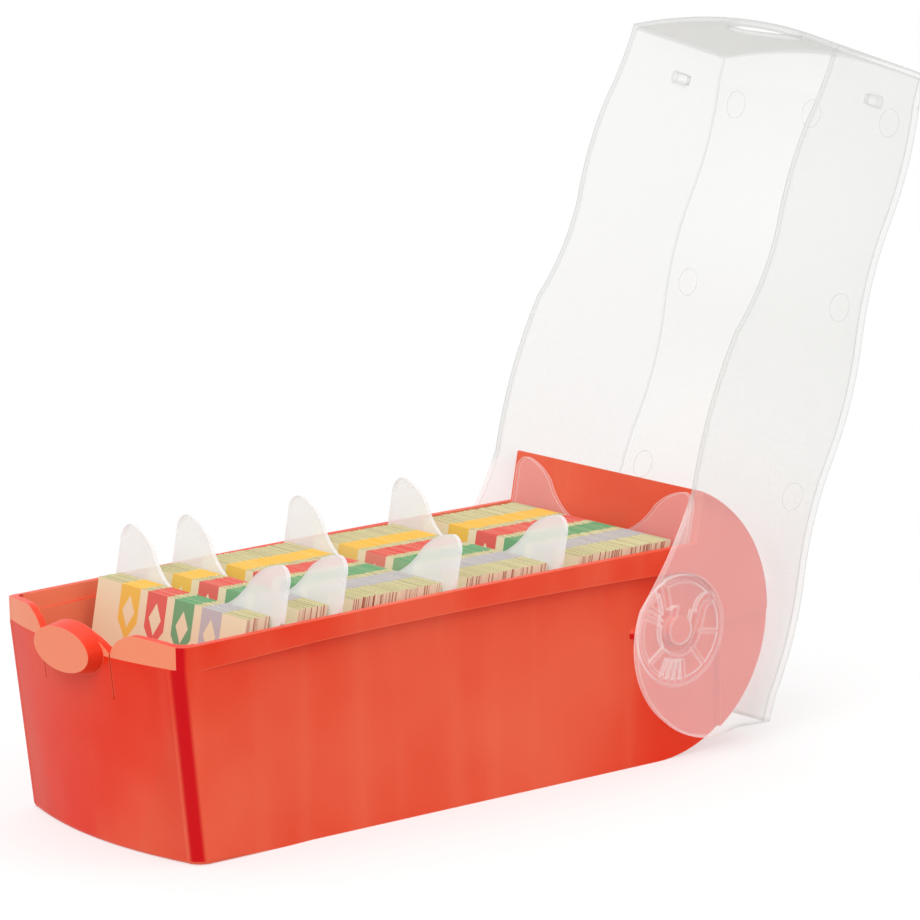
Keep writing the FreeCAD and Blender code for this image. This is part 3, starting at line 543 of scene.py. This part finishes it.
class Clear(Enum):
    """The clear finishes; the divider that stands against the red wall gets a clearer, pink-tinted copy of
    the divider finish, as painted red light from the wall behind it.
    """

    LID = ClearMoulding(
        "lid_clear_moulding",
        body=srgb(247, 248, 245), shade=srgb(186, 192, 187), rim=srgb(186, 190, 186),
        face_alpha=0.12, graze_alpha=0.62, rim_alpha=0.5, roughness=0.3, rim_radius=1.6 * MM)
    EJECTOR_MARK = ClearMoulding(
        "ejector_mark_clear",
        body=srgb(226, 229, 226), shade=srgb(218, 221, 218), rim=srgb(214, 217, 214),
        face_alpha=0.14, graze_alpha=0.24, rim_alpha=0.2, roughness=0.3)
    DIVIDER = ClearMoulding(
        "divider_frost_moulding",
        body=srgb(246, 247, 245), shade=srgb(240, 236, 236), rim=srgb(236, 234, 234),
        face_alpha=0.5, graze_alpha=0.8, rim_alpha=0.85, roughness=0.4, rim_radius=0.7 * MM)
    # Painted light: the same divider moulding, tinted pink for the red wall's light through it.
    DIVIDER_RED_GLOW = ClearMoulding(
        "divider_painted_red_glow",
        body=srgb(252, 238, 238), shade=srgb(250, 226, 226), rim=srgb(252, 236, 234),
        face_alpha=0.12, graze_alpha=0.34, rim_alpha=0.6, roughness=0.4, rim_radius=0.7 * MM)


@dataclass(frozen=True)
class CardStock:
    """Uncoated cream card with printed pennants; its cut edges show the print and the pulp, and the dark
    red-brown on the side edges of some cards is painted shade with the tray's red reflected in it.
    """

    name: str = "card_stock_print"
    paper: Colour = srgb(243, 229, 190)
    bright_paper: Colour = srgb(250, 242, 214)
    top_dark: Colour = srgb(100, 98, 38)
    top_light: Colour = srgb(162, 166, 98)
    flank: Colour = srgb(246, 232, 205)
    flank_red_shade: Colour = srgb(168, 84, 60)
    mark_half: float = 4.9 * MM
    mark_depth: float = 15.5 * MM
    first_mark: float = 20.0 * MM
    mark_pitch: float = 13.5 * MM
    ink_fade: float = 0.22
    top_span: Span = (0.0, 0.7)
    flank_span: Span = (0.45, 1.0)
    fibre_scale: float = 2600.0
    fibre_detail: float = 4.0
    fibre_share: float = 0.25
    fibre_depth: float = 0.02 * MM
    roughness: float = 0.62
    roughness_gain: float = 0.15

    def centres(self) -> dict[Mark, float]:
        """Where the middle of each mark lies across a card."""
        return {mark: self.first_mark - self.mark_pitch * number for number, mark in enumerate(Mark)}

    def build(self, effects: Effects) -> bpy.types.Material:
        """Build the material.

        Args:
            effects: shared node groups.

        Returns:
            The material.
        """
        material, graph, shader = new_material(self.name)
        across, drop = graph.stored("across"), graph.stored("drop")
        edge, tone = graph.stored("edge"), graph.stored("tone")
        fibre = graph.noise(self.fibre_scale, self.fibre_detail)
        sheet = graph.mix(graph.product(fibre, self.fibre_share), self.paper, self.bright_paper)
        is_top = graph.math("COMPARE", edge, Edge.TOP.value)
        is_flank = graph.math("COMPARE", edge, Edge.FLANK.value)
        top = graph.mix(graph.ramp(tone, *self.top_span), self.top_dark, self.top_light)
        # Painted shade and reflection: the side edges of some cards turn dark red-brown.
        flank = graph.mix(graph.ramp(tone, *self.flank_span), self.flank, self.flank_red_shade)
        tint = graph.mix(is_top, sheet, top)
        for mark, centre in self.centres().items():
            pennant = graph.group(effects.pennant, Across=across, Drop=drop, Centre=centre,
                                  Half=self.mark_half, Depth=self.mark_depth)
            ink = graph.mix(graph.product(tone, self.ink_fade), mark.value, self.paper)
            tint = graph.mix(pennant.outputs["Mask"], tint, ink)
        tint = graph.mix(is_flank, tint, flank)
        graph.feed(shader.inputs["Base Color"], tint)
        roughness = graph.math("ADD", self.roughness, graph.product(fibre, self.roughness_gain))
        graph.feed(shader.inputs["Roughness"], roughness)
        add_bump(graph, shader, fibre, self.fibre_depth)
        return material


@dataclass(frozen=True)
class FloorFinish:
    """Plain pale floor that fades into the white background."""

    name: str = "pale_floor"
    colour: Colour = (0.93, 0.93, 0.93)
    middle: Triple = (0.12, 0.0, 0.0)
    near: float = 0.16
    far: float = 0.42
    cover: float = 0.42
    drift_scale: float = 1.5
    drift_share: float = 0.05
    roughness: float = 0.85
    specular: float = 0.1

    def build(self) -> bpy.types.Material:
        """Build the material.

        Returns:
            The material.
        """
        material, graph, shader = new_material(self.name)
        drift = graph.product(graph.noise(self.drift_scale, SOFT_DETAIL), self.drift_share)
        graph.feed(shader.inputs["Base Color"], graph.mix(drift, self.colour, WHITE))
        away = graph.add("ShaderNodeVectorMath", operation="DISTANCE")
        graph.feed(away.inputs[0], graph.add("ShaderNodeTexCoord").outputs["Object"])
        away.inputs[1].default_value = self.middle
        fade = graph.inverse(graph.ramp(away.outputs["Value"], self.near, self.far))
        graph.feed(shader.inputs["Alpha"], graph.product(fade, self.cover))
        shader.inputs["Roughness"].default_value = self.roughness
        shader.inputs["Specular IOR Level"].default_value = self.specular
        return material


def joint(name: str) -> dict[str, object]:
    """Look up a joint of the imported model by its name."""
    return next(item for item in frame["joints"] if item["name"] == name)


def add_piece(name: str, verts: list[Vector], faces: list[tuple[int, ...]], material: bpy.types.Material,
              body: str) -> bpy.types.Object:
    """Make a new piece and put it on its body.

    Args:
        name: name of the piece.
        verts: its corners in the frame.
        faces: corners of each face.
        material: finish.
        body: the body that it rides on.

    Returns:
        The piece.
    """
    mesh = bpy.data.meshes.new(name)
    mesh.from_pydata(verts, [], faces)
    mesh.materials.append(material)
    piece = bpy.data.objects.new(name, mesh)
    bpy.context.scene.collection.objects.link(piece)
    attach(piece, body)
    LOG.info("%s has %d faces", name, len(faces))
    return piece


def dress(node: str, material: bpy.types.Material) -> None:
    """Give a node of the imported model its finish.

    Args:
        node: name of the node.
        material: finish.
    """
    piece = frame["nodes"][node]
    piece.data.materials.clear()
    piece.data.materials.append(material)
    LOG.info("%s wears %s", node, material.name)


@dataclass
class Mouldings:
    """The moulded pieces: tray, latch tongue, lid and dividers."""

    effects: Effects
    button_face_depth: float = 0.4 * MM
    pad_height: float = 7.1 * MM

    def build(self) -> None:
        """Dress every moulded node."""
        tab_low, tab_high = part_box("latch_tab")
        red = RedMoulding().build(self.effects, tab_low.x + self.button_face_depth,
                                  tab_high.z - self.pad_height, tab_low.z)
        dress("tray", red)
        dress("latch_tab", red)
        lid = Clear.LID.value.build(self.effects, Vector(joint("lid_hinge")["pos_m"]))
        dress("lid", lid)
        EjectorMarks(Clear.EJECTOR_MARK.value.build(self.effects)).build()
        frost = Clear.DIVIDER.value.build(self.effects)
        red_glow = Clear.DIVIDER_RED_GLOW.value.build(self.effects)
        for index in range(1, DIVIDER_COUNT + 1):
            finish = red_glow if index == DIVIDER_COUNT else frost
            dress(f"divider_{index}", finish)


@dataclass
class EjectorMarks:
    """Round marks that the ejector pins leave on the inner face of the lid's plate."""

    material: bpy.types.Material
    rows: tuple[float, ...] = (46.0 * MM, 104.0 * MM, 161.0 * MM)
    aside: float = 35.0 * MM
    radius: float = 4.2 * MM
    line: float = 0.16 * MM
    start_height: float = 20.0 * MM
    steps: int = 48
    sides: int = 6
    verts: list[Vector] = field(default_factory=list)
    faces: list[tuple[int, ...]] = field(default_factory=list)

    def build(self) -> bpy.types.Object:
        """Build every mark as one piece.

        Returns:
            The marks, which ride on the lid.
        """
        hinge = joint("lid_hinge")
        opened = Matrix.Rotation(-math.radians(hinge["range_deg"][0]), SPACE_AXES, "Y")
        plate = frame["nodes"]["lid"].data
        surface = BVHTree.FromPolygons([vertex.co for vertex in plate.vertices],
                                       [polygon.vertices[:] for polygon in plate.polygons])
        places = [(run, side) for run in self.rows for side in (self.aside, -self.aside)]
        for run, side in (*places, (self.rows[-1], 0.0)):
            path = [self._seat(surface, Vector(hinge["pos_m"]), opened, run, side, step)
                    for step in range(self.steps)]
            self._add_ring(path)
        return add_piece("lid_ejector_marks", self.verts, self.faces, self.material, "lid")

    def _seat(self, surface: BVHTree, pivot: Vector, opened: Matrix, run: float, side: float,
              step: int) -> tuple[Vector, Vector]:
        """Find a point of a mark on the plate.

        Args:
            surface: the lid.
            pivot: point on the lid's axis.
            opened: turn of the lid from shut to rest.
            run: middle of the mark in front of the axis when the lid is shut.
            side: middle of the mark across the lid.
            step: number of the point along the mark.

        Returns:
            The point on the plate's inner face and the face's normal.
        """
        turn = math.tau * step / self.steps
        along, across = self.radius * math.cos(turn), self.radius * math.sin(turn)
        shut = Vector((along - run, across + side, self.start_height))
        point, normal, _, _ = surface.ray_cast(pivot + opened @ shut, opened @ Vector((0.0, 0.0, 1.0)))
        return point, normal

    def _add_ring(self, path: list[tuple[Vector, Vector]]) -> None:
        """Add a closed thin bead along points on the plate."""
        first = len(self.verts)
        count = len(path)
        for step, (point, normal) in enumerate(path):
            along = (path[(step + 1) % count][0] - path[step - 1][0]).normalized()
            across = along.cross(normal).normalized()
            for side in range(self.sides):
                turn = math.tau * side / self.sides
                self.verts.append(point + (normal * math.cos(turn) + across * math.sin(turn)) * self.line)
        for step in range(count):
            here, there = first + step * self.sides, first + (step + 1) % count * self.sides
            for side in range(self.sides):
                after = (side + 1) % self.sides
                self.faces.append((here + side, here + after, there + after, there + side))


@dataclass
class CardDeck:
    """One deck, sheet by sheet, in the space that its packets hold."""

    index: int
    lean: float
    stock: bpy.types.Material
    sheet_thickness: float = 0.36 * MM
    width: float = 74.0 * MM
    solid_share: float = 0.86
    height_jitter: float = 0.32 * MM
    side_jitter: float = 0.15 * MM
    slip_kept: float = 0.7
    slip_step: float = 0.5
    columns: int = 8
    seed: int = 40
    verts: list[Vector] = field(default_factory=list)
    faces: list[tuple[int, ...]] = field(default_factory=list)
    across: list[float] = field(default_factory=list)
    drop: list[float] = field(default_factory=list)
    edges: list[float] = field(default_factory=list)
    tones: list[float] = field(default_factory=list)

    def build(self) -> bpy.types.Object:
        """Build the deck.

        Returns:
            The deck, which rides on its body and replaces its node.
        """
        node = f"card_deck_{self.index}"
        low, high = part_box(node)
        rise = high.z - low.z
        depth = high.x - low.x - rise * math.tan(self.lean)
        count = max(int(depth * math.cos(self.lean) / self.sheet_thickness), 2)
        dice = random.Random(self.seed + self.index)
        slip = 0.0
        for number in range(count):
            slip = self.slip_kept * slip + dice.uniform(-1.0, 1.0) * self.slip_step
            foot = Vector((low.x + depth * number / count, slip * self.side_jitter, low.z))
            tall = rise / math.cos(self.lean) - self.height_jitter * dice.random()
            self._add_sheet(foot, tall, dice.random())
        return self._finish(node)

    def _add_sheet(self, foot: Vector, tall: float, tone: float) -> None:
        """Add one card as a thin slab, split across its width.

        Args:
            foot: middle of its front bottom edge.
            tall: its height along the lean.
            tone: its own shade, from 0 to 1.
        """
        up = Vector((math.sin(self.lean), 0.0, math.cos(self.lean)))
        back = Vector((math.cos(self.lean), 0.0, -math.sin(self.lean)))
        back = back * self.sheet_thickness * self.solid_share
        lift = Vector((0.0, 0.0, self.sheet_thickness * math.sin(self.lean)))
        start = len(self.verts)
        for drop, offset in ((tall, Vector()), (0.0, up * tall)):
            for column in range(self.columns + 1):
                side = self.width / 2 - self.width * column / self.columns
                for behind in (Vector(), back):
                    self.verts.append(foot + lift + offset + behind + Vector((0.0, side, 0.0)))
                    self.across.append(side)
                    self.drop.append(drop)

        def corner(column: int, high: int, behind: int) -> int:
            """Number of a corner; high is 1 at the top edge, behind is 1 on the rear face."""
            return start + (high * (self.columns + 1) + column) * 2 + behind

        for here in range(self.columns):
            after = here + 1
            front = (corner(here, 0, 0), corner(after, 0, 0), corner(after, 1, 0), corner(here, 1, 0))
            rear = (corner(after, 0, 1), corner(here, 0, 1), corner(here, 1, 1), corner(after, 1, 1))
            top = (corner(here, 1, 0), corner(after, 1, 0), corner(after, 1, 1), corner(here, 1, 1))
            foot_edge = (corner(after, 0, 0), corner(here, 0, 0), corner(here, 0, 1), corner(after, 0, 1))
            self._add_face(front, Edge.SHEET, tone)
            self._add_face(rear, Edge.SHEET, tone)
            self._add_face(top, Edge.TOP, tone)
            self._add_face(foot_edge, Edge.FLANK, tone)
        last = self.columns
        for ends in ((corner(0, 0, 1), corner(0, 0, 0), corner(0, 1, 0), corner(0, 1, 1)),
                     (corner(last, 0, 0), corner(last, 0, 1), corner(last, 1, 1), corner(last, 1, 0))):
            self._add_face(ends, Edge.FLANK, tone)

    def _add_face(self, corners: tuple[int, ...], edge: Edge, tone: float) -> None:
        """Add a face with what the card stock reads from it."""
        self.faces.append(corners)
        self.edges.append(edge.value)
        self.tones.append(tone)

    def _finish(self, node: str) -> bpy.types.Object:
        """Make the object, store its values and put it on its body.

        Args:
            node: the node that it stands for.

        Returns:
            The object.
        """
        piece = add_piece(f"cards_{self.index}", self.verts, self.faces, self.stock, node)
        stored = (("across", "POINT", self.across), ("drop", "POINT", self.drop),
                  ("edge", "FACE", self.edges), ("tone", "FACE", self.tones))
        for name, domain, values in stored:
            piece.data.attributes.new(name, "FLOAT", domain).data.foreach_set("value", values)
        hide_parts(node)
        return piece


@dataclass(frozen=True)
class SoftLamp:
    """One soft square lamp: where it hangs, its side in metres and its power in watts."""

    name: str
    place: Triple
    size: float
    power: float
    target: Triple = (0.1, 0.0, 0.05)

    def build(self) -> None:
        """Hang the lamp and turn it to its target."""
        lamp = bpy.data.lights.new(self.name, "AREA")
        lamp.size = self.size
        lamp.energy = self.power
        holder = bpy.data.objects.new(self.name, lamp)
        holder.location = self.place
        aim = Vector(self.target) - Vector(self.place)
        holder.rotation_euler = aim.to_track_quat("-Z", "Y").to_euler()
        bpy.context.scene.collection.objects.link(holder)


@dataclass
class Studio:
    """Floor, soft light, background and camera."""

    lens: float = 177.4
    sensor: float = 36.0
    clip: Span = (0.01, 20.0)
    azimuth: float = -36.945
    elevation: float = 11.12
    roll: float = -1.36
    position: Triple = (-0.64614, -1.03122, 0.34284)
    floor_size: float = 1.4
    ambient: float = 0.62
    lamps: tuple[SoftLamp, ...] = (SoftLamp("key_light", (-1.1, -0.7, 1.4), 1.2, 17.0),
                                   SoftLamp("fill_light", (1.0, -1.3, 0.9), 1.4, 7.0),
                                   SoftLamp("top_light", (0.2, 0.6, 1.8), 1.6, 9.0))

    def build(self) -> None:
        """Build the whole setting."""
        self._floor()
        self._world()
        for lamp in self.lamps:
            lamp.build()
        self._camera()

    def _floor(self) -> None:
        """Lay the floor at the height that the drawer stands on."""
        half = self.floor_size / 2
        mesh = bpy.data.meshes.new("floor")
        corners = [(x * half, y * half, 0.0) for x, y in ((-1, -1), (1, -1), (1, 1), (-1, 1))]
        mesh.from_pydata(corners, [], [tuple(range(len(corners)))])
        mesh.materials.append(FloorFinish().build())
        floor = bpy.data.objects.new("floor", mesh)
        bpy.context.scene.collection.objects.link(floor)

    def _world(self) -> None:
        """White where the camera, a reflection or glass looks past the drawer; softer as a light."""
        world = bpy.data.worlds.new("studio")
        bpy.context.scene.world = world
        world.use_nodes = True
        graph = Graph(world.node_tree)
        path = graph.add("ShaderNodeLightPath").outputs
        mirrored = graph.math("MAXIMUM", path["Is Glossy Ray"], path["Is Transmission Ray"])
        seen = graph.math("MAXIMUM", path["Is Camera Ray"], mirrored)
        strength = graph.math("ADD", self.ambient, graph.product(seen, 1.0 - self.ambient))
        background = graph.add("ShaderNodeBackground")
        background.inputs["Color"].default_value = opaque(WHITE)
        graph.feed(background.inputs["Strength"], strength)
        graph.feed(graph.add("ShaderNodeOutputWorld").inputs["Surface"], background.outputs["Background"])

    def _camera(self) -> None:
        """Stand the camera where the photograph was taken from."""
        azimuth, elevation = math.radians(self.azimuth), math.radians(self.elevation)
        roll = math.radians(self.roll)
        reach = math.cos(elevation)
        back = Vector((math.sin(azimuth) * reach, -math.cos(azimuth) * reach, math.sin(elevation)))
        level_right = (-back).cross(Vector((0.0, 0.0, 1.0))).normalized()
        level_up = level_right.cross(-back)
        right = level_right * math.cos(roll) + level_up * math.sin(roll)
        up = level_up * math.cos(roll) - level_right * math.sin(roll)
        camera = bpy.data.cameras.new("camera")
        camera.lens = self.lens
        camera.sensor_width = self.sensor
        camera.clip_start, camera.clip_end = self.clip
        holder = bpy.data.objects.new("camera", camera)
        turn = Matrix((right, up, back)).transposed().to_4x4()
        holder.matrix_world = Matrix.Translation(Vector(self.position)) @ turn
        bpy.context.scene.collection.objects.link(holder)
        bpy.context.scene.camera = holder


def deck_lean() -> float:
    """Lean of the cards from upright, read from the joint that lifts them.

    Returns:
        The angle in radians.
    """
    axis = joint("card_deck_1_lift")["axis"]
    return math.atan2(axis[0], axis[2])


def main() -> None:
    """Build the finishes, the cards and the studio."""
    logging.basicConfig(level=logging.INFO, format="%(name)s: %(message)s")
    effects = Effects()
    Mouldings(effects).build()
    stock = CardStock().build(effects)
    lean = deck_lean()
    for index in range(1, DECK_COUNT + 1):
        CardDeck(index, lean, stock).build()
    Studio().build()
    bpy.context.scene.view_settings.view_transform = "Standard"


if __name__ == "__main__":
    main()
